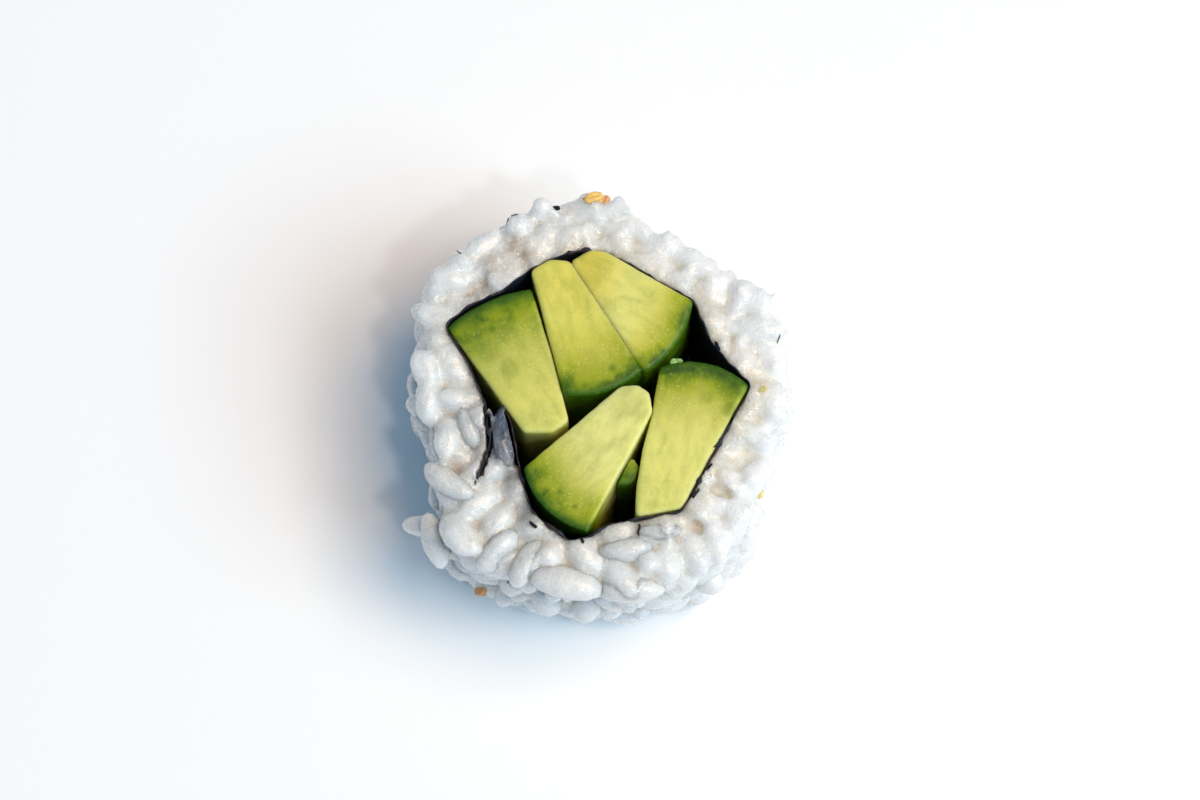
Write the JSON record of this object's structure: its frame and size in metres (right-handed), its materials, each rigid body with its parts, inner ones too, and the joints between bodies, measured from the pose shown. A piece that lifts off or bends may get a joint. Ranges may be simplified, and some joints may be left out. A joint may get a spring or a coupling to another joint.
{
  "type": "cucumber maki roll",
  "caption": "One piece of an inside-out cucumber roll standing on its cut end: lumpy rice round a nori sheet that holds cucumber batons.",
  "frame": {"origin": "middle of the footprint, on the surface that the cut end rests on", "axes": "+Z along the roll's axis towards the cut face that shows, +Y to the back along the footprint's longer side, +X to the right"},
  "size_m": [0.0458, 0.0492, 0.0244],
  "materials": {
    "rice": "moist, slightly translucent cooked grains",
    "nori": "near-black softened seaweed sheet",
    "cucumber": "wet pale yellow-green flesh with dark green skin on one side"
  },
  "bodies": {
    "root": {"rice": "rice", "nori": "nori", "cucumber_left": "cucumber", "cucumber_back_left": "cucumber", "cucumber_back_right": "cucumber", "cucumber_right": "cucumber", "cucumber_front": "cucumber", "cucumber_sliver": "cucumber"}
  },
  "joints": []
}
